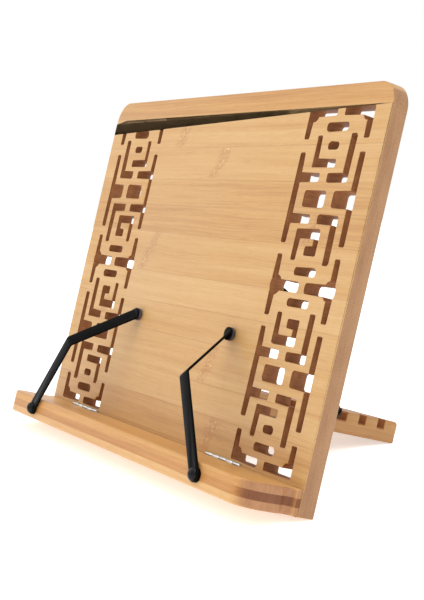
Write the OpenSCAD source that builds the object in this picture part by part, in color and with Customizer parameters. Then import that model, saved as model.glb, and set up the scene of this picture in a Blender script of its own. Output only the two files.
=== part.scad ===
// Adjustable book stand in laminated bamboo.
// A pierced board leans back on a hinged leg and is held by a wire bail in the leg's grooves.
// A hinged ledge carries the book and two bent steel strips hold its pages.

/* [Board] */
// width of the board
board_width = 340; // [260:1:420]
// height of the board along its face
board_height = 240; // [230:1:300]
// thickness of the board
board_thick = 10.5; // [9:0.5:18]
// height of the glued strip along the top edge
rail_height = 12.7; // [8:0.1:13]
// radius of the two top corners
corner_radius = 15; // [2:1:40]
// angle the board leans back from upright
lean = 15; // [10:0.5:25]

/* [Ledge] */
// height of the ledge's front face
ledge_thick = 15; // [12:0.5:20]
// distance from the board's face to the ledge's front face
ledge_depth = 36; // [28:1:50]
// length of the ledge between its straight ends
ledge_length = 336; // [300:1:400]

/* [Leg] */
// width of the leg
leg_width = 58; // [50:1:70]
// thickness of the leg
leg_thick = 15; // [12:0.5:18]
// height of the leg's underside up the board
leg_bottom = 41; // [35:0.5:50]
// depth of the grooves across the leg
groove_depth = 6.3; // [4:0.1:8]
// width of a groove
groove_width = 5.7; // [5:0.1:8]
// distance from one groove to the next
groove_pitch = 16.1; // [13:0.1:20]

/* [Bail] */
// diameter of the bail's wire
wire_dia = 4; // [3:0.1:5]
// height of the bail's pivots up the board
bail_pivot_height = 121; // [110:1:124]
// half the distance between the bail's arms at the pivots
bail_half_foot = 83.5; // [76:0.5:86]
// half the distance between the bail's arms at the crossbar
bail_half_bar = 38; // [36:1:45]
// distance of the crossbar behind the board's face
bar_back = 108.4; // [100:0.1:112]
// height of the crossbar's centre up the board
bar_height = 54.4; // [53:0.1:56]

/* [Page holders] */
// distance of each holder's screw from the middle
holder_x = 118.5; // [90:0.5:140]
// width of the steel strip
strip_width = 8.7; // [6:0.1:12]
// thickness of the steel strip
strip_thick = 1.5; // [1:0.1:2.5]
// length from the screw to the bend
strip_lower = 63.7; // [50:0.1:80]
// angle each holder leans towards the middle
holder_lean = 34.8; // [20:0.1:45]

/* [Hidden] */
$fn = 64;
ply = ledge_thick / 3;
leg_top = leg_bottom + leg_thick;
rail_bottom = board_height - rail_height;
lift = board_thick * sin(lean);

// butt hinges
leaf_thick = 1;
leaf_gap = 0.3;
barrel_r = leaf_thick + leaf_gap / 2;
pin_r = 0.6;
knuckles = 5;
hinge_len = 40;
leg_hinge_len = 46;
leaf_height = 13.5;
leaf_screw_r = 1.1;
leaf_head_r = 2.5;
leaf_screw_len = 8;
ledge_hinge_x = [-111, 85.5];
ledge_axis = [-barrel_r, ledge_thick + 0.4];
leg_axis = [board_thick + barrel_r, leg_top + barrel_r + 0.1];
leg_start = board_thick + 2 * barrel_r;
ledge_back = 0.6;

// leg end, set so that its rounded lower corner stands on the table
toe_r = 1.5;
heel_r = 2.5;
toe = (leg_bottom + toe_r) * cos(lean) + board_thick * sin(lean) - toe_r;
leg_end = toe / sin(lean) + toe_r;
rack_thick = groove_depth + 1.8;
wide_groove = [105.4, 121.6];
outer_groove = wide_groove[1] + 10.5;
inner_groove = wide_groove[0] - groove_pitch;

// bail
bail_pivot = [board_thick + 5.5, bail_pivot_height];
wire_r = wire_dia / 2;
bail_drop = bail_pivot_height - bar_height;
bail_run = bar_back - bail_pivot[0];
bail_reach = sqrt(bail_drop * bail_drop + bail_run * bail_run);
bail_angle = atan2(bail_drop, bail_run);
bend_r = 5;
foot_end = 60;
collar_r = 4.75;
collar_in = leg_width / 2 + 0.8;
collar_width = 4;
bracket_x = 68;
bracket_screw_off = 9.5;

// page holders
holder_s = 7.5;
washer_thick = 0.8;
fit_gap = 0.3;
strip_back = ledge_depth + washer_thick + fit_gap;
strip_mid = strip_back + strip_thick / 2;
head_base = strip_back + strip_thick + fit_gap;
screw_r = 1.9;
head_r = 4.1;
head_height = 2.7;
pad_face = 0.8;
pad_thick = 1.8;
tab_r = 4.1;
tab_mid = pad_face + pad_thick + strip_thick / 2;
strip_rise = strip_mid - tab_mid;
strip_bend_r = 3;

// the origin sits under the middle of the whole outline
dome_r = (head_r * head_r + head_height * head_height) / (2 * head_height);
front_y = (dome_r - head_base - head_height) * cos(lean) + holder_s * sin(lean) - dome_r;
back_y = (leg_end - heel_r) * cos(lean) + (leg_top - heel_r) * sin(lean) + heel_r;
shift_y = -(front_y + back_y) / 2;

honey = [0.87, 0.70, 0.47];
amber = [0.84, 0.64, 0.40];
umber = [0.62, 0.42, 0.24];
steel = [0.74, 0.75, 0.76];
jet = [0.05, 0.05, 0.055];
slate = [0.20, 0.19, 0.22];

// turns the upright frame (across, back, up the board) into the leaning stand
module leaned() {
    translate([0, shift_y, lift])
        rotate([-lean, 0, 0])
            children();
}

// a cylinder that runs along +Y
module along_y(r, len) {
    rotate([-90, 0, 0])
        cylinder(r = r, h = len);
}

// a cylinder centred on its middle that runs along X
module along_x(r, len) {
    rotate([0, 90, 0])
        cylinder(r = r, h = len, center = true);
}

// lays a flat outline in X and up, and gives it a thickness towards the back
module sheet(thick) {
    translate([0, thick, 0])
        rotate([90, 0, 0])
            linear_extrude(height = thick)
                children();
}

// ---------------------------------------------------------------- pierced pattern

// one slot from its left, right, bottom and top edges
module slot(left, right, low, high, r) {
    translate([left, low + r])
        square([right - left, high - low - 2 * r]);
    translate([left + r, low])
        square([right - left - 2 * r, high - low]);
    for (x = [left + r, right - r], s = [low + r, high - r])
        translate([x, s])
            circle(r = r);
}

module pattern_half() {
    r = 2.2;
    c = 1.2;
    // framing angles at the top
    slot(91.3, 119.6, 221.6, 226.6, c);
    slot(91.3, 96.4, 208.2, 226.6, c);
    slot(126.8, 155.2, 221.6, 226.6, c);
    slot(149.9, 155.2, 208.2, 226.6, c);
    translate([97.5, 222.6])
        circle(r = 4);
    translate([149, 222.6])
        circle(r = 4);
    // inner maze
    slot(112.4, 133.9, 212.6, 217.8, r);
    slot(105.5, 110.4, 191.5, 210.3, c);
    slot(105.5, 128.8, 191.5, 196.5, c);
    slot(117.6, 128.4, 201.8, 206.5, r);
    slot(138.2, 143.8, 183.1, 211.2, c);
    slot(123.5, 143.8, 183.1, 188.3, c);
    slot(91.3, 115.8, 183.1, 188.3, c);
    slot(91.3, 96.5, 146.9, 200.5, c);
    slot(149.8, 155.2, 146.9, 200.5, c);
    slot(104.7, 126.5, 168.3, 178.2, 2);
    slot(133.8, 155.2, 168.3, 178.2, 2);
    slot(91.3, 115.8, 158.9, 164.2, c);
    slot(123.5, 143.8, 158.9, 164.2, c);
    slot(138.2, 143.8, 135.7, 164.2, c);
    // small spiral
    slot(105.5, 129.7, 150.3, 155.7, c);
    slot(105.5, 110.4, 137.2, 155.7, c);
    slot(124.5, 129.7, 140.3, 155.7, c);
    slot(117.6, 129.7, 140.3, 145.8, c);
    slot(112.4, 134.2, 128.6, 133.5, r);
}

module pattern_column() {
    centre = 122;
    pattern_half();
    translate([0, 2 * centre])
        mirror([0, 1])
            pattern_half();
    // middle row
    slot(91.3, 96.5, 103.8, 140.2, 1.2);
    slot(149.8, 155.2, 103.8, 140.2, 1.2);
    slot(91.3, 120.4, 118.8, 125.2, 2.2);
    slot(126.5, 155.2, 118.8, 125.2, 2.2);
    translate([95.9, centre])
        circle(r = 5.85);
    translate([150.6, centre])
        circle(r = 5.85);
}

// ---------------------------------------------------------------- screws and hinges

// countersunk wood screw, head at the origin, pointing towards -Y
module leaf_screw() {
    rotate([90, 0, 0]) {
        cylinder(r1 = leaf_head_r, r2 = leaf_screw_r, h = leaf_thick);
        cylinder(r = leaf_screw_r, h = leaf_thick + leaf_screw_len);
    }
}

// three screws along one leaf, seen from the hinge's axis
module leaf_screws(len) {
    for (x = [-0.34 * len, 0, 0.34 * len])
        translate([x, -leaf_gap / 2, -8.5])
            leaf_screw();
}

// one leaf with its share of the knuckles, the axis along X through the origin
module leaf(len, first, bore) {
    pitch = len / knuckles;
    difference() {
        union() {
            translate([-len / 2, -barrel_r, -barrel_r - 0.2 - leaf_height])
                cube([len, leaf_thick, leaf_height]);
            for (i = [first : 2 : knuckles - 1])
                translate([(i - (knuckles - 1) / 2) * pitch, 0, 0]) {
                    along_x(barrel_r, pitch - 0.3);
                    translate([-(pitch - 0.3) / 2, -barrel_r, -barrel_r - 0.2])
                        cube([pitch - 0.3, leaf_thick, barrel_r + 0.2]);
                }
        }
        along_x(bore, len + 2);
        leaf_screws(len);
    }
}

module at_ledge_hinges() {
    for (x = ledge_hinge_x)
        translate([x, ledge_axis[0], ledge_axis[1]])
            children();
}

module at_leg_hinge() {
    translate([0, leg_axis[0], leg_axis[1]])
        children();
}

// ---------------------------------------------------------------- board

// front outline of the board and its top strip together
module board_outline() {
    r = corner_radius;
    translate([-board_width / 2, 0])
        square([board_width, board_height - r]);
    translate([r - board_width / 2, 0])
        square([board_width - 2 * r, board_height]);
    for (x = [r - board_width / 2, board_width / 2 - r])
        translate([x, board_height - r])
            circle(r = r);
}

// the part of the outline between two heights
module board_band(low, high) {
    sheet(board_thick)
        intersection() {
            board_outline();
            translate([-board_width, low])
                square([2 * board_width, high - low]);
        }
}

module board() {
    color(honey) leaned()
        difference() {
            board_band(0, rail_bottom);
            translate([0, -1, 0])
                sheet(board_thick + 2) {
                    pattern_column();
                    mirror([1, 0])
                        pattern_column();
                }
            at_ledge_hinges()
                rotate([0, 0, 180])
                    leaf_screws(hinge_len);
            at_leg_hinge()
                leaf_screws(leg_hinge_len);
            at_bracket_screws()
                rotate([180, 0, 0])
                    along_y(leaf_screw_r, 9);
        }
}

module top_rail() {
    color(amber) leaned()
        board_band(rail_bottom, board_height);
}

// ---------------------------------------------------------------- ledge

module ledge_outline() {
    r = 14;
    half = ledge_length / 2;
    difference() {
        union() {
            translate([-half, -ledge_depth + r])
                square([ledge_length, ledge_depth - r - ledge_back]);
            translate([-half + r, -ledge_depth])
                square([ledge_length - 2 * r, r + 1]);
            for (x = [-half + r, half - r])
                translate([x, -ledge_depth + r])
                    circle(r = r);
            translate([-half - 2, -8])
                square([ledge_length + 4, 8 - ledge_back]);
        }
        for (x = [-half - 3.5, half + 3.5])
            translate([x, -8])
                circle(r = 5);
    }
}

module ledge_ply(level) {
    difference() {
        translate([0, 0, level * ply])
            linear_extrude(height = ply)
                ledge_outline();
        // mortise for the closed leaves, wider around the knuckles
        for (x = ledge_hinge_x) {
            translate([x - hinge_len / 2 - 0.2, -2 * barrel_r, -1])
                cube([hinge_len + 0.4, 2 * barrel_r, ledge_thick + 2]);
            translate([x - hinge_len / 2 - 0.2, -2 * barrel_r - 1, ledge_thick - 3.5])
                cube([hinge_len + 0.4, 2 * barrel_r + 1, 5]);
        }
        at_ledge_hinges()
            leaf_screws(hinge_len);
        for (side = [-1, 1])
            translate([side * holder_x, -ledge_depth - 1, holder_s])
                along_y(screw_r, 19);
    }
}

module ledge_top_ply() {
    color(amber) leaned()
        ledge_ply(2);
}

module ledge_core_ply() {
    color(umber) leaned()
        ledge_ply(1);
}

module ledge_bottom_ply() {
    color(amber) leaned()
        ledge_ply(0);
}

module ledge_hinge_board_leaves() {
    color(steel) leaned()
        at_ledge_hinges()
            rotate([0, 0, 180])
                leaf(hinge_len, 0, pin_r);
}

module ledge_hinge_ledge_leaves() {
    color(steel) leaned()
        at_ledge_hinges()
            leaf(hinge_len, 1, pin_r + 0.05);
}

module ledge_hinge_pins() {
    color(steel) leaned()
        at_ledge_hinges()
            along_x(pin_r, hinge_len);
}

module ledge_hinge_board_screws() {
    color(steel) leaned()
        at_ledge_hinges()
            rotate([0, 0, 180])
                leaf_screws(hinge_len);
}

module ledge_hinge_ledge_screws() {
    color(steel) leaned()
        at_ledge_hinges()
            leaf_screws(hinge_len);
}

// ---------------------------------------------------------------- page holders

// side view of the bent strip: first along X, then turned up by 45 degrees
module strip_profile() {
    t = strip_bend_r * tan(22.5);
    upper = strip_rise / sin(45);
    translate([0, -strip_thick / 2])
        square([strip_lower - t, strip_thick]);
    translate([strip_lower - t, strip_bend_r])
        intersection() {
            difference() {
                circle(r = strip_bend_r + strip_thick / 2);
                circle(r = strip_bend_r - strip_thick / 2);
            }
            polygon([[0, 0], [0, -9], [9, -9]]);
        }
    translate([strip_lower, 0])
        rotate(45)
            translate([t, -strip_thick / 2])
                square([upper - t, strip_thick]);
}

// places a holder whose arm runs along X and whose thickness is along Y
module at_holder(side) {
    translate([side * holder_x, 0, holder_s])
        rotate([0, -90 - side * holder_lean, 0])
            children();
}

module holder(side) {
    color(jet) leaned()
        at_holder(side)
            difference() {
                union() {
                    translate([0, -strip_mid, -strip_width / 2])
                        linear_extrude(height = strip_width)
                            strip_profile();
                    translate([0, -strip_mid - strip_thick / 2, 0])
                        along_y(strip_width / 2, strip_thick);
                    translate([strip_lower + strip_rise, -tab_mid - strip_thick / 2, 0])
                        along_y(tab_r, strip_thick);
                }
                translate([0, -strip_mid - 2, 0])
                    along_y(screw_r + 0.07, 4);
                // the strip stops at the tab's face
                translate([strip_lower + strip_rise - 9, -tab_mid + strip_thick / 2, -9])
                    cube([18, 3, 18]);
            }
}

module holder_pad(side) {
    color(slate) leaned()
        at_holder(side)
            translate([strip_lower + strip_rise, -pad_face - pad_thick, 0])
                along_y(tab_r, pad_thick);
}

module holder_screw(side) {
    color(jet) leaned()
        translate([side * holder_x, -head_base, holder_s]) {
            intersection() {
                translate([0, dome_r - head_height, 0])
                    sphere(r = dome_r);
                translate([0, -head_height, 0])
                    along_y(head_r, head_height);
            }
            along_y(screw_r, head_base - ledge_depth + 18);
        }
}

module holder_washer(side) {
    color(steel) leaned()
        translate([side * holder_x, -ledge_depth - washer_thick, holder_s])
            difference() {
                along_y(strip_width / 2, washer_thick);
                translate([0, -1, 0])
                    along_y(screw_r, 3);
            }
}

module left_holder() {
    holder(-1);
}

module right_holder() {
    holder(1);
}

module left_holder_pad() {
    holder_pad(-1);
}

module right_holder_pad() {
    holder_pad(1);
}

module left_holder_screw() {
    holder_screw(-1);
}

module right_holder_screw() {
    holder_screw(1);
}

module left_holder_washer() {
    holder_washer(-1);
}

module right_holder_washer() {
    holder_washer(1);
}

// ---------------------------------------------------------------- leg

// a bar with its side outline in back and up, centred on X
module leg_bar(low, high) {
    rotate([90, 0, 90])
        translate([0, 0, -leg_width / 2])
            linear_extrude(height = leg_width)
                difference() {
                    translate([leg_start, low])
                        square([leg_end - leg_start, high - low]);
                    children();
                }
}

module leg_plate() {
    r = toe_r;
    color(honey) leaned()
        difference() {
            leg_bar(leg_bottom, leg_top - rack_thick)
                difference() {
                    translate([leg_end - r, leg_bottom - r])
                        square([2 * r, 2 * r]);
                    translate([leg_end - r, leg_bottom + r])
                        circle(r = r);
                }
            at_leg_hinge()
                rotate([0, 0, 180])
                    leaf_screws(leg_hinge_len);
        }
}

module groove(from, to) {
    translate([from, leg_top - groove_depth])
        square([to - from, groove_depth + 1]);
}

module leg_rack() {
    c = 1.2;
    color(amber) leaned()
        difference() {
            leg_bar(leg_top - rack_thick, leg_top) {
                difference() {
                    translate([leg_end - heel_r, leg_top - heel_r])
                        square([2 * heel_r, 2 * heel_r]);
                    translate([leg_end - heel_r, leg_top - heel_r])
                        circle(r = heel_r);
                }
                groove(wide_groove[0], wide_groove[1]);
                for (i = [0, 1])
                    groove(outer_groove + i * groove_pitch, outer_groove + i * groove_pitch + groove_width);
                for (i = [0 : 3])
                    groove(inner_groove - i * groove_pitch, inner_groove - i * groove_pitch + groove_width);
                // eased corner where the crossbar lifts out
                polygon([[wide_groove[1] - 1, leg_top - c - 1], [wide_groove[1] + c + 1, leg_top + 1],
                         [wide_groove[1] - 1, leg_top + 1]]);
            }
            at_leg_hinge()
                rotate([0, 0, 180])
                    leaf_screws(leg_hinge_len);
        }
}

module leg_hinge_board_leaf() {
    color(steel) leaned()
        at_leg_hinge()
            leaf(leg_hinge_len, 0, pin_r);
}

module leg_hinge_leg_leaf() {
    color(steel) leaned()
        at_leg_hinge()
            rotate([0, 0, 180])
                leaf(leg_hinge_len, 1, pin_r + 0.05);
}

module leg_hinge_pin() {
    color(steel) leaned()
        at_leg_hinge()
            along_x(pin_r, leg_hinge_len);
}

module leg_hinge_board_screws() {
    color(steel) leaned()
        at_leg_hinge()
            leaf_screws(leg_hinge_len);
}

module leg_hinge_leg_screws() {
    color(steel) leaned()
        at_leg_hinge()
            rotate([0, 0, 180])
                leaf_screws(leg_hinge_len);
}

// ---------------------------------------------------------------- bail

// one bend of the wire at a corner, drawn a touch thinner by the bending
module wire_bend(corner, from, to) {
    t = bend_r * tan((to - from) / 2);
    centre = corner - t * [cos(from), sin(from)] + bend_r * [-sin(from), cos(from)];
    translate([centre[0], centre[1], 0])
        rotate([0, 0, from - 90])
            rotate_extrude(angle = to - from)
                translate([bend_r, 0])
                    circle(r = wire_r - 0.03);
}

// a straight length of wire from a point along a heading, run a little into each bend
module wire(start, heading, len) {
    lap = 0.25;
    translate([start[0], start[1], 0])
        rotate([0, 0, heading])
            translate([-lap, 0, 0])
                rotate([0, 90, 0])
                    cylinder(r = wire_r, h = len + 2 * lap);
}

module bail_half() {
    rise = atan2(bail_reach, bail_half_bar - bail_half_foot);
    arm = sqrt(pow(bail_reach, 2) + pow(bail_half_foot - bail_half_bar, 2));
    t1 = bend_r * tan(rise / 2);
    t2 = bend_r * tan((180 - rise) / 2);
    foot = [bail_half_foot, 0];
    bar = [bail_half_bar, bail_reach];
    wire([foot_end, 0], 0, bail_half_foot - t1 - foot_end);
    wire_bend(foot, 0, rise);
    wire(foot + t1 * [cos(rise), sin(rise)], rise, arm - t1 - t2);
    wire_bend(bar, rise, 180);
}

module at_bail() {
    translate([0, bail_pivot[0], bail_pivot[1]])
        rotate([-bail_angle, 0, 0])
            children();
}

module bail() {
    rise = atan2(bail_reach, bail_half_bar - bail_half_foot);
    bar = bail_half_bar - bend_r * tan((180 - rise) / 2);
    color(jet) leaned()
        at_bail() {
            bail_half();
            mirror([1, 0, 0])
                bail_half();
            translate([0, bail_reach, 0])
                along_x(wire_r, 2 * bar + 0.5);
        }
}

module bail_collars() {
    color(jet) leaned()
        at_bail()
            for (side = [-1, 1])
                translate([side * (collar_in + collar_width / 2), bail_reach, 0])
                    difference() {
                        along_x(collar_r, collar_width);
                        along_x(wire_r, collar_width + 1);
                    }
}

module at_bracket_screws() {
    for (side = [-1, 1], up = [-1, 1])
        translate([side * bracket_x, board_thick, bail_pivot[1] + up * bracket_screw_off])
            children();
}

module bail_brackets() {
    r = wire_r + 1.8;
    color(jet) leaned()
        difference() {
            for (side = [-1, 1])
                translate([side * bracket_x, 0, bail_pivot[1]]) {
                    translate([-6, board_thick, -14])
                        cube([12, 1.5, 28]);
                    translate([-5, board_thick, -r])
                        cube([10, bail_pivot[0] - board_thick, 2 * r]);
                    translate([0, bail_pivot[0], 0])
                        along_x(r, 10);
                }
            translate([0, bail_pivot[0], bail_pivot[1]])
                along_x(wire_r + 0.06, 200);
            at_bracket_screws()
                along_y(leaf_screw_r, 4);
        }
}

module bail_bracket_screws() {
    color(steel) leaned()
        at_bracket_screws() {
            translate([0, 1.5, 0])
                intersection() {
                    along_y(2.7, 1.6);
                    translate([0, -2.2, 0])
                        sphere(r = 3.8);
                }
            rotate([180, 0, 0])
                translate([0, -2, 0])
                    along_y(leaf_screw_r, 11);
        }
}

board();
top_rail();
ledge_top_ply();
ledge_core_ply();
ledge_bottom_ply();
ledge_hinge_board_leaves();
ledge_hinge_ledge_leaves();
ledge_hinge_pins();
ledge_hinge_board_screws();
ledge_hinge_ledge_screws();
left_holder();
right_holder();
left_holder_pad();
right_holder_pad();
left_holder_screw();
right_holder_screw();
left_holder_washer();
right_holder_washer();
leg_plate();
leg_rack();
leg_hinge_board_leaf();
leg_hinge_leg_leaf();
leg_hinge_pin();
leg_hinge_board_screws();
leg_hinge_leg_screws();
bail();
bail_collars();
bail_brackets();
bail_bracket_screws();
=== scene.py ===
import math

import bpy
from mathutils import Matrix, Vector


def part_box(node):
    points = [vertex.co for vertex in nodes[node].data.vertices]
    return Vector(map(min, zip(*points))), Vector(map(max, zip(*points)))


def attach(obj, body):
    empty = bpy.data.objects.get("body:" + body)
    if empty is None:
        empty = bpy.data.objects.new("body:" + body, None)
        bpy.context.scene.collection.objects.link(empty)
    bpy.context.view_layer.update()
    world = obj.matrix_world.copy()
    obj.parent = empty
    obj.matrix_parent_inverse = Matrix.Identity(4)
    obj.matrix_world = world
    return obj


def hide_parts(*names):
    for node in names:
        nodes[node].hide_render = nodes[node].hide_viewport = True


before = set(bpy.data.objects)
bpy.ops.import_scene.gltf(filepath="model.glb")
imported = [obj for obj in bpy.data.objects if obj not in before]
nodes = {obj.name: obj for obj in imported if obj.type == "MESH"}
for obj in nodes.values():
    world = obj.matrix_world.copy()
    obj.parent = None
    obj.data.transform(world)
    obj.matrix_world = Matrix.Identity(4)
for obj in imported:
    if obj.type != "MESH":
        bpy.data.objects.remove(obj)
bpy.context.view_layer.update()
bpy.ops.object.select_all(action="DESELECT")

# the stand leans back: the board's own directions are across, back and up the board
stand = {"lean": math.radians(15), "boardThick": 0.0105}
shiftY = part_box("board")[0].y
lift = stand["boardThick"] * math.sin(stand["lean"])
standMatrix = Matrix.Translation((0, shiftY, lift)) @ Matrix.Rotation(-stand["lean"], 4, "X")
uprightMatrix = standMatrix.inverted()
print("frame loaded,", len(nodes), "nodes")


class Value:  # one socket, so that sums read as sums
    def __init__(self, book, link):
        self.book = book
        self.link = link

    def math(self, kind, *rest, clamp=False):
        return self.book.add("ShaderNodeMath", {"operation": kind, "use_clamp": clamp}, self, *rest)

    def __add__(self, other):
        return self.math("ADD", other)

    __radd__ = __add__

    def __mul__(self, other):
        return self.math("MULTIPLY", other)

    __rmul__ = __mul__

    def __sub__(self, other):
        return self.math("SUBTRACT", other)

    def __rsub__(self, other):
        return self.book.add("ShaderNodeMath", {"operation": "SUBTRACT"}, other, self)

    def __truediv__(self, other):
        return self.math("DIVIDE", other)

    def __abs__(self):
        return self.math("ABSOLUTE")

    def step(self, low, high):  # smooth 0 to 1 between two values
        return self.book.add("ShaderNodeMapRange", {"interpolation_type": "SMOOTHSTEP"}, self, low, high)


class Book:  # one material's nodes
    def __init__(self, name):
        self.material = bpy.data.materials.new(name)
        self.material.use_nodes = True
        self.tree = self.material.node_tree
        self.shader = self.tree.nodes["Principled BSDF"]

    def add(self, kind, settings, *inputs, out=0, **named):
        node = self.tree.nodes.new(kind)
        stops = settings.get("stops")
        for key, setting in settings.items():
            if key != "stops":
                setattr(node, key, setting)
        if stops:
            ramp = node.color_ramp
            for place, shade in stops:
                spot = ramp.elements.new(place)
                spot.color = (*shade, 1) if isinstance(shade, tuple) else (shade, shade, shade, 1)
            ramp.elements.remove(ramp.elements[0])
            last = max(range(len(ramp.elements)), key=lambda i: (ramp.elements[i].position, i))
            ramp.elements.remove(ramp.elements[last])
        for i, given in enumerate(inputs):
            self.put(node.inputs[i], given)
        for key, given in named.items():
            self.put(node.inputs[key.replace("_", " ")], given)
        return Value(self, node.outputs[out])

    def put(self, socket, given):
        if isinstance(given, Value):
            self.tree.links.new(given.link, socket)
        else:
            socket.default_value = given

    def mix(self, kind, amount, first, second):  # colours only
        node = self.tree.nodes.new("ShaderNodeMix")
        node.data_type = "RGBA"
        node.blend_type = kind
        self.put(node.inputs[0], amount)
        self.put(node.inputs[6], first if isinstance(first, Value) else (*first, 1))
        self.put(node.inputs[7], second if isinstance(second, Value) else (*second, 1))
        return Value(self, node.outputs[2])

    def parts(self, vector):
        node = self.tree.nodes.new("ShaderNodeSeparateXYZ")
        self.put(node.inputs[0], vector)
        return [Value(self, node.outputs[i]) for i in range(3)]

    def join(self, x, y, z):
        return self.add("ShaderNodeCombineXYZ", {}, x, y, z)

    def noise(self, vector, scale=1.0, detail=3.0, rough=0.55, warp=0.0):
        return self.add("ShaderNodeTexNoise", {}, Vector=vector, Scale=scale, Detail=detail,
                        Roughness=rough, Distortion=warp)

    def upright(self):  # millimetres across, back and up the board
        spot = self.add("ShaderNodeTexCoord", {}, out=3)
        turn = stand["lean"]
        moved = Matrix.Rotation(turn, 3, "X") @ Vector((0, -shiftY, -lift)) * 1000
        return self.add("ShaderNodeMapping", {}, spot, tuple(moved), (turn, 0, 0), (1000, 1000, 1000))

    def finish(self, colour, rough, bump=None, strength=0.2, reach=0.0002, **fixed):
        self.put(self.shader.inputs["Base Color"], colour if isinstance(colour, Value) else (*colour, 1))
        self.put(self.shader.inputs["Roughness"], rough)
        if bump is not None:
            bumped = self.add("ShaderNodeBump", {}, Strength=strength, Distance=reach, Height=bump)
            self.put(self.shader.inputs["Normal"], bumped)
        for key, given in fixed.items():
            self.put(self.shader.inputs[key.replace("_", " ")], given)
        return self.material


def tint(red, green, blue):  # screen colour, 0 to 255, as linear light
    def one(c):
        c = c / 255
        return c / 12.92 if c <= 0.04045 else ((c + 0.055) / 1.055) ** 2.4
    return (one(red), one(green), one(blue))


bamboo = {
    "strips": [17, 37, 55, 80, 99, 119, 146, 165, 183, 205, 227.3],  # glue lines up the board
    "tones": [0.40, 0.44, 0.66, 0.58, 0.62, 0.74, 0.55, 0.36, 0.42, 0.60, 0.62, 0.30],
    "pale": tint(217, 181, 128),
    "mid": tint(199, 154, 96),
    "deep": tint(168, 114, 60),
    "fibre": tint(140, 88, 42),
    "knuckles": [(-58, 205, 227, 9), (-1, 184, 205, 9), (-69, 119, 146, 8), (62, 17, 37, 10),
                 (156, 227, 240, 9), (40, 55, 80, 7), (-120, 80, 99, 8), (120, 146, 165, 7)],
}


def bambooBook(name, along, across, seed, settings=bamboo, board=False, deepen=0.0):
    book = Book(name)
    place = book.upright()
    axes = book.parts(place)
    u, v = axes[along], axes[across]
    w = axes[3 - along - across]
    if board:
        stops = [(0.0, settings["tones"][0])]
        stops += [(edge / 250, tone) for edge, tone in zip(settings["strips"], settings["tones"][1:])]
        tone = book.add("ShaderNodeValToRGB", {"stops": stops}, v / 250)
        tone.link.node.color_ramp.interpolation = "CONSTANT"
    else:
        tone = book.noise(book.join(seed, (v / 19.0).math("FLOOR") * 3.7, 0.3), 1.0, 0.0) * 0.9 + 0.05
    jump = tone * 83.0 + seed
    wave = book.noise(book.join(u * 0.006 + jump, v * 0.03, w * 0.03), 1.0, 2.0) - 0.5
    vv = v + wave * 5.0
    # broad bands, streaks and single fibres, all drawn out along the cane
    band = book.noise(book.join(u * 0.004 + jump, vv * 0.16, w * 0.16), 1.0, 3.0, 0.6)
    streak = book.noise(book.join(u * 0.012 + jump, vv * 0.85, w * 0.85), 1.0, 4.0, 0.62)
    thread = book.noise(book.join(u * 0.05 + jump, vv * 3.4, w * 3.4), 1.0, 2.0, 0.6)
    fibre = book.noise(book.join(u * 0.11 + jump, vv * 5.5, w * 5.5), 1.0, 1.0, 0.5)
    shade = tone * 0.5 + band * 0.62 + streak * 0.62 - 0.43 - deepen
    colour = book.add("ShaderNodeValToRGB", {"stops": [
        (0.08, settings["deep"]), (0.42, settings["mid"]), (0.85, settings["pale"])]}, shade)
    marks = (thread * 0.6 + streak * 0.4).step(0.53, 0.68) * 0.55
    specks = fibre.step(0.60, 0.72) * 0.45
    colour = book.mix("MULTIPLY", marks, colour, tint(214, 168, 122))
    colour = book.mix("MIX", specks * 0.6, colour, settings["fibre"])
    if board:
        # glue lines
        lines = None
        for edge in settings["strips"]:
            line = (abs(v - edge + wave * 0.4)).step(0.5, 0.08)
            lines = line if lines is None else lines.math("MAXIMUM", line)
        colour = book.mix("MULTIPLY", lines * 0.2, colour, tint(170, 120, 78))
        # knuckle marks of the cane, a wrinkled slanting patch in one strip
        patches = None
        for at, low, high, width in settings["knuckles"]:
            slant = (v - (low + high) / 2) * 0.45
            far = abs(u - at - slant + wave * 16.0)
            patch = far.step(width * 1.05, width * 0.25) * abs(v - (low + high) / 2).step(
                (high - low) / 2, (high - low) / 2 - 1.2)
            patches = patch if patches is None else patches.math("MAXIMUM", patch)
        wrinkle = book.noise(book.join(u * 0.42 + jump, v * 0.62, w * 0.5), 1.0, 4.0, 0.7, 1.2)
        colour = book.mix("MULTIPLY", patches * 0.22, colour, tint(226, 196, 158))
        colour = book.mix("MIX", patches * wrinkle.step(0.48, 0.62) * 0.55, colour, tint(166, 108, 66))
        colour = book.mix("MIX", patches * wrinkle.step(0.44, 0.34) * 0.5, colour, tint(246, 216, 172))
        height = streak * 0.5 + thread * 0.35 + patches * wrinkle * 0.8 - lines * 0.5
    else:
        height = streak * 0.5 + thread * 0.35
    book.streak = streak
    book.height = height
    book.colour = colour
    return book


def bambooFace(name, along, across, seed, board=False, deepen=0.0, warm=None):
    book = bambooBook(name, along, across, seed, board=board, deepen=deepen)
    colour = book.colour
    if warm is not None:
        colour = book.mix("MULTIPLY", 1.0, colour, warm)
    rough = book.streak * 0.16 + 0.34
    return book.finish(colour, rough, book.height, 0.22, 0.00025, Specular_IOR_Level=0.4,
                       Coat_Weight=0.12, Coat_Roughness=0.28)


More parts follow.
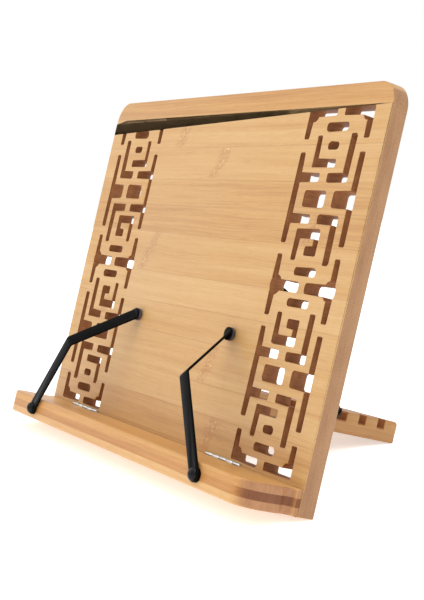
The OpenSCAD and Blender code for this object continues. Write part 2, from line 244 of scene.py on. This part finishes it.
def ledgePly(name, seed, deepen, warm, endPale, endDark):
    # the grain runs along the ledge and turns into darker end grain round its two ends
    book = bambooBook(name, 0, 1, seed, deepen=deepen)
    face = book.mix("MULTIPLY", 1.0, book.colour, warm)
    x, n, s = book.parts(book.upright())
    side = book.add("ShaderNodeTexCoord", {}, out=1)
    flat = abs(book.parts(side)[0])
    cell = book.noise(book.join(n * 0.5 + seed, s * 0.09, x * 0.3), 1.0, 3.0, 0.6)
    stroke = book.noise(book.join(n * 1.7 + seed, s * 0.25, x * 1.2), 1.0, 3.0, 0.6)
    pale = (cell * 0.8 + stroke * 0.5 - 0.2).math("MAXIMUM", 0.0, clamp=True)
    end = book.mix("MIX", pale, endDark, endPale)
    turned = flat.step(0.18, 0.80)
    colour = book.mix("MIX", turned, face, end)
    rough = book.streak * 0.16 + 0.34 + turned * 0.08
    return book.finish(colour, rough, book.height + stroke * turned * 0.5, 0.2, 0.00025,
                       Specular_IOR_Level=0.35, Coat_Weight=0.1, Coat_Roughness=0.3)


def bambooEnd(name, across, seed, pale, dark, layers, line):
    # sawn end: plies across the thickness, short strokes and pores
    book = Book(name)
    axes = book.parts(book.upright())
    v, run = axes[across], axes[line]
    other = axes[3 - across - line]
    tone = book.add("ShaderNodeValToRGB", {"stops": layers}, v / 60 + 0.5)
    cell = book.noise(book.join(v * 0.10 + seed, run * 0.055, other * 0.05), 1.0, 2.0, 0.5)
    stroke = book.noise(book.join(v * 1.3 + seed, run * 0.05, other * 0.05), 1.0, 4.0, 0.65)
    pore = book.noise(book.join(v * 2.6 + seed, run * 1.4, other * 1.4), 1.0, 2.0, 0.6)
    shade = tone * 0.5 + cell * 0.5 + stroke * 0.55 - 0.28
    colour = book.mix("MIX", shade.math("MAXIMUM", 0.0, clamp=True), dark, pale)
    colour = book.mix("MULTIPLY", pore.step(0.52, 0.68) * 0.5, colour, tint(168, 126, 96))
    return book.finish(colour, stroke * 0.2 + 0.42, stroke * 0.5 + pore * 0.6, 0.25, 0.0002,
                       Specular_IOR_Level=0.35)


def burntAndShadeWall(name, seed):
    # slots cut by heat: brown walls, darker at the edge, with fine upright ribs; the leg's grooves take the
    # same dark brown as painted shade
    book = Book(name)
    x, n, s = book.parts(book.upright())
    rib = book.noise(book.join(x * 1.6 + seed, n * 0.12, s * 1.6), 1.0, 3.0, 0.6)
    cloud = book.noise(book.join(x * 0.16, n * 0.22 + seed, s * 0.16), 1.0, 3.0, 0.6)
    shade = (rib * 0.55 + cloud * 0.65 - 0.12).math("MULTIPLY", 1.0, clamp=True)
    colour = book.add("ShaderNodeValToRGB", {"stops": [
        (0.1, tint(112, 62, 28)), (0.5, tint(152, 98, 56)), (0.9, tint(180, 128, 80))]}, shade)
    edge = n.step(1.6, 0.2)
    colour = book.mix("MULTIPLY", edge * 0.35, colour, tint(150, 110, 80))
    return book.finish(colour, cloud * 0.2 + 0.5, rib, 0.3, 0.00015, Specular_IOR_Level=0.3)


boardFaceMat = bambooFace("bambooBoardFace", 0, 2, 3.1, board=True)
boardEndMat = bambooEnd("bambooBoardEnd", 1, 7.0, tint(184, 143, 104), tint(134, 93, 60),
                        [(0.5, 0.55), (0.56, 0.35), (0.64, 0.7), (0.7, 0.3)], 2)
slotWallMat = burntAndShadeWall("bambooBurntWall", 2.0)
railMat = bambooFace("bambooRail", 0, 2, 11.4, deepen=0.08, warm=(1.0, 0.95, 0.88))
ledgeTopMat = ledgePly("bambooLedgeTop", 5.3, 0.04, (1.08, 1.0, 0.88),
                       tint(188, 138, 96), tint(150, 102, 66))
ledgeCoreMat = ledgePly("bambooLedgeCore", 8.9, 0.12, (0.98, 0.84, 0.66),
                        tint(136, 82, 46), tint(100, 54, 26))
ledgeLowMat = ledgePly("bambooLedgeLow", 21.7, 0.0, (1.05, 1.0, 0.94),
                       tint(188, 138, 96), tint(150, 102, 66))
legFaceMat = bambooFace("bambooLeg", 1, 0, 14.2, deepen=0.05, warm=(0.70, 0.63, 0.53))
rackFaceMat = bambooFace("bambooRack", 1, 0, 33.2, deepen=0.03, warm=(0.72, 0.66, 0.58))
# painted shade: the leg's groove walls and floors get this dark brown finish for the shade inside the grooves
grooveShadeMat = burntAndShadeWall("bambooGrooveWallShade", 6.0)
print("bamboo finishes made")


def platedMetal(name, colour, rough):
    book = Book(name)
    x, n, s = book.parts(book.upright())
    cloud = book.noise(book.join(x * 0.35, n * 0.35, s * 0.35), 1.0, 3.0)
    scratch = book.noise(book.join(x * 0.25, n * 6.0, s * 6.0), 1.0, 3.0, 0.6)
    shade = book.mix("MULTIPLY", cloud.step(0.4, 0.7) * 0.35, colour, (0.66, 0.65, 0.62))
    return book.finish(shade, cloud * 0.14 + scratch * 0.1 + rough, scratch, 0.08, 0.00005, Metallic=1.0)


def blackPaint(name, colour, rough, coat, grain, gloss=0.25):
    book = Book(name)
    x, n, s = book.parts(book.upright())
    cloud = book.noise(book.join(x * 0.12, n * 0.12, s * 0.12), 1.0, 3.0)
    peel = book.noise(book.join(x * grain, n * grain, s * grain), 1.0, 2.0)
    wear = book.noise(book.join(x * 0.5, n * 0.5, s * 0.5), 1.0, 5.0, 0.7).step(0.66, 0.78)
    shade = book.mix("MIX", cloud.step(0.35, 0.7) * 0.6, colour, tuple(c * 1.9 for c in colour))
    shade = book.mix("MIX", wear * 0.2, shade, (0.035, 0.035, 0.036))
    return book.finish(shade, cloud * 0.12 + wear * 0.12 + rough, peel, 0.10, 0.00004,
                       Specular_IOR_Level=gloss, Coat_Weight=coat, Coat_Roughness=0.12)


nickelMat = platedMetal("nickelPlate", (0.80, 0.80, 0.79), 0.14)
stripMat = blackPaint("blackStripEnamel", (0.003, 0.003, 0.003), 0.26, 0.01, 1.8, 0.04)
screwMat = blackPaint("blackScrewEnamel", (0.003, 0.003, 0.003), 0.10, 0.15, 0.9, 0.12)
wireMat = blackPaint("blackWireEnamel", (0.003, 0.003, 0.003), 0.30, 0.01, 1.6, 0.04)
collarMat = blackPaint("blackCollarPlastic", (0.014, 0.014, 0.014), 0.42, 0.0, 2.4)
padMat = blackPaint("padRubber", (0.055, 0.050, 0.062), 0.62, 0.0, 3.2)
print("metal, paint and rubber made")


def upright(point):
    return uprightMatrix @ Vector(point)


def uprightNormal(direction):
    return uprightMatrix.to_3x3() @ Vector(direction)


def copyOf(node, name, body):
    piece = nodes[node].copy()
    piece.data = nodes[node].data.copy()
    piece.name = name
    piece.parent = None
    for key in list(piece.keys()):
        del piece[key]
    bpy.context.scene.collection.objects.link(piece)
    piece.matrix_world = Matrix.Identity(4)
    bpy.ops.object.select_all(action="DESELECT")
    piece.select_set(True)
    bpy.context.view_layer.objects.active = piece
    if piece.data.has_custom_normals:
        bpy.ops.mesh.customdata_custom_splitnormals_clear()
    bpy.ops.object.mode_set(mode="EDIT")
    bpy.ops.mesh.select_all(action="SELECT")
    bpy.ops.mesh.remove_doubles(threshold=0.000004)
    bpy.ops.mesh.dissolve_limited(angle_limit=math.radians(0.6))
    bpy.ops.object.mode_set(mode="OBJECT")
    return piece


bevelFrom = 40  # degrees between two faces before their edge is rounded


def eased(node, name, body, settings, keepSharp=None):
    # a copy of a node with its corners rounded off
    piece = copyOf(node, name, body)
    mesh = piece.data
    weights = mesh.attributes.new("bevel_weight_edge", "FLOAT", "EDGE")
    faces = {}
    for face in mesh.polygons:
        for key in face.edge_keys:
            faces.setdefault(key, []).append(face.normal.copy())
    for edge in mesh.edges:
        pair = faces.get(tuple(sorted(edge.vertices)), [])
        if len(pair) != 2 or pair[0].angle(pair[1], 0) < math.radians(bevelFrom):
            continue
        ends = [upright(mesh.vertices[i].co) * 1000 for i in edge.vertices]
        if keepSharp and keepSharp(ends[0], ends[1]):
            continue
        weights.data[edge.index].value = 1.0
    bevel = piece.modifiers.new("easing", "BEVEL")
    bevel.width = settings["width"]
    bevel.segments = settings.get("segments", 3)
    bevel.limit_method = "WEIGHT"
    bevel.use_clamp_overlap = False
    bevel.miter_outer = "MITER_SHARP"
    bpy.ops.object.modifier_apply(modifier=bevel.name)
    bpy.ops.object.shade_smooth_by_angle(angle=math.radians(settings.get("smooth", 32)))
    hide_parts(node)
    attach(piece, body)
    return piece


def paint(piece, first, rules=()):
    # first is the plain finish; each rule gives a finish and a test on a face's middle and normal
    mesh = piece.data
    mesh.materials.clear()
    mesh.materials.append(first)
    for finish, test in rules:
        mesh.materials.append(finish)
    for face in mesh.polygons:
        face.material_index = 0
        middle = upright(face.center) * 1000
        normal = uprightNormal(face.normal)
        for i, (finish, test) in enumerate(rules):
            if test(middle, normal):
                face.material_index = i + 1
                break
    return piece


boardPiece = {"width": 0.0007, "segments": 3, "rail": 227.3, "shortest": 0.4,
              "fretwork": (89, 158), "slots": (15, 227.2)}


def onRailJoint(a, b):
    # the glue joint stays sharp, and so do edges too short to round
    joint = abs(a.z - boardPiece["rail"]) < 0.05 and abs(b.z - boardPiece["rail"]) < 0.05
    return joint or (a - b).length < boardPiece["shortest"]


def insideSlot(middle, normal):
    inner, outer = boardPiece["fretwork"]
    low, high = boardPiece["slots"]
    return abs(normal.y) < 0.6 and inner < abs(middle.x) < outer and low < middle.z < high


def sawnEnd(middle, normal):
    return abs(normal.x) > 0.72


board = eased("board", "boardPanel", "board_body", boardPiece, onRailJoint)
paint(board, boardFaceMat, [(slotWallMat, insideSlot), (boardEndMat, sawnEnd)])
rail = eased("top_rail", "boardTopRail", "board_body", boardPiece, onRailJoint)
paint(rail, railMat, [(boardEndMat, sawnEnd)])
print("board done")

ledgePiece = {"width": 0.0014, "segments": 4, "low": 0, "high": 15, "wall": -3.5}


def ledgeInner(a, b):
    # only the outer faces' edges are rounded, and not those against the board
    outer = [z for z in (ledgePiece["low"], ledgePiece["high"])
             if abs(a.z - z) < 0.05 and abs(b.z - z) < 0.05]
    return not outer or (a.y > ledgePiece["wall"] and b.y > ledgePiece["wall"])


for node, name, face, slotName in (
        ("ledge_top_ply", "ledgeTopPly", ledgeTopMat, "ledge_bamboo"),
        ("ledge_core_ply", "ledgeCorePly", ledgeCoreMat, "core_bamboo"),
        ("ledge_bottom_ply", "ledgeLowPly", ledgeLowMat, "ledge_bamboo")):
    ply = eased(node, name, "board_body", ledgePiece, ledgeInner)
    paint(ply, face)
print("ledge done")

legPiece = {"width": 0.0009, "segments": 3, "joint": 47.9,
            "grooves": (20, 158), "grooveLow": 49, "grooveFloor": 50.2}


def onLegJoint(a, b):
    return abs(a.z - legPiece["joint"]) < 0.05 and abs(b.z - legPiece["joint"]) < 0.05


def inGroove(middle, normal):
    first, last = legPiece["grooves"]
    return first < middle.y < last and middle.z > legPiece["grooveLow"] and (
        abs(normal.y) > 0.5 or middle.z < legPiece["grooveFloor"])


leg = eased("leg_plate", "legBase", "leg_body", legPiece, onLegJoint)
paint(leg, legFaceMat)
rack = eased("leg_rack", "legRack", "leg_body", {"width": 0.0006, "segments": 3}, onLegJoint)
# groove walls and floors are painted dark brown as painted shade
paint(rack, rackFaceMat, [(grooveShadeMat, inGroove)])
print("leg done")

metalEdge = {"width": 0.00025, "segments": 2, "smooth": 30}
for node, body in (("ledge_hinge_board_leaves", "board_body"), ("ledge_hinge_ledge_leaves", "board_body"),
                   ("ledge_hinge_pins", "board_body"), ("leg_hinge_board_leaf", "board_body"),
                   ("leg_hinge_leg_leaf", "leg_body"), ("leg_hinge_pin", "board_body")):
    hinge = eased(node, node.title().replace("_", ""), body, metalEdge)
    paint(hinge, nickelMat)
for node in ("ledge_hinge_board_screws", "ledge_hinge_ledge_screws", "leg_hinge_board_screws",
             "leg_hinge_leg_screws", "bail_bracket_screws"):
    nodes[node].data.materials.clear()
    nodes[node].data.materials.append(nickelMat)

for side in ("left", "right"):
    body = side + "_holder_body"
    arm = eased(side + "_holder", side + "PageArm", body, {"width": 0.00035, "segments": 3, "smooth": 35})
    paint(arm, stripMat)
    pad = eased(side + "_holder_pad", side + "PagePad", body, {"width": 0.0005, "segments": 3})
    paint(pad, padMat)
    screw = eased(side + "_holder_screw", side + "ArmScrew", "board_body", {"width": 0.0003, "segments": 3})
    paint(screw, screwMat)
    washer = eased(side + "_holder_washer", side + "ArmWasher", "board_body", {"width": 0.0002, "segments": 2})
    paint(washer, stripMat)

bail = eased("bail", "wireBail", "bail_body", {"width": 0.0005, "segments": 3, "smooth": 40})
paint(bail, wireMat)
collars = eased("bail_collars", "bailCollars", "bail_body", {"width": 0.0012, "segments": 4, "smooth": 40})
paint(collars, collarMat)
brackets = eased("bail_brackets", "bailBrackets", "board_body", {"width": 0.0004, "segments": 3})
paint(brackets, stripMat)
print("metal pieces done")


studio = {"floor": 6.0, "floorTone": 0.92, "floorGlow": 0.5, "world": 1.0, "aim": (0, 0, 0.1),
          "keyPlace": (-0.9, -1.5, 1.3), "keySize": (0.8, 0.8), "keyPower": 3,
          "topPlace": (0.3, -0.2, 1.9), "topSize": (1.4, 1.4), "topPower": 9}
bpy.ops.object.select_all(action="DESELECT")
bpy.ops.mesh.primitive_plane_add(size=studio["floor"], location=(0, 0, 0))
floor = bpy.context.object
floor.name = "studioFloor"
bpy.ops.object.transform_apply()
floorBook = Book("paleFloor")
floor.data.materials.append(floorBook.finish((studio["floorTone"],) * 3, 0.8, Specular_IOR_Level=0.1,
                                             Emission_Color=(1, 1, 1, 1),
                                             Emission_Strength=studio["floorGlow"]))

world = bpy.data.worlds.new("studioWorld")
world.use_nodes = True
world.node_tree.nodes["Background"].inputs[0].default_value = (1, 1, 1, 1)
world.node_tree.nodes["Background"].inputs[1].default_value = studio["world"]
bpy.context.scene.world = world


def softLight(name, place, aim, size, power):
    bpy.ops.object.light_add(type="AREA", location=place)
    lamp = bpy.context.object
    lamp.name = name
    lamp.rotation_euler = (Vector(aim) - Vector(place)).to_track_quat("-Z", "Y").to_euler()
    lamp.data.shape = "RECTANGLE"
    lamp.data.size, lamp.data.size_y = size
    lamp.data.energy = power


softLight("keyLight", studio["keyPlace"], studio["aim"], studio["keySize"], studio["keyPower"])
softLight("topLight", studio["topPlace"], studio["aim"], studio["topSize"], studio["topPower"])

view = {"azimuth": math.radians(60.55), "down": math.radians(7.49), "place": (0.7561, -0.3840, 0.1864),
        "sensor": 36, "lens": 80.8, "shift": (0.002, 0.07), "farthest": 20}
camera = bpy.data.cameras.new("viewCamera")
cameraObject = bpy.data.objects.new("viewCamera", camera)
bpy.context.scene.collection.objects.link(cameraObject)
cameraObject.location = Vector(view["place"]) + Vector((0, shiftY, lift))
cameraObject.rotation_euler = (math.pi / 2 - view["down"], 0, view["azimuth"])
camera.sensor_fit = "VERTICAL"
camera.sensor_height = view["sensor"]
camera.lens = view["lens"]
camera.shift_x, camera.shift_y = view["shift"]
camera.clip_end = view["farthest"]
bpy.context.scene.camera = cameraObject
bpy.context.scene.view_settings.view_transform = "Standard"
print("studio done")

bpy.context.view_layer.update()
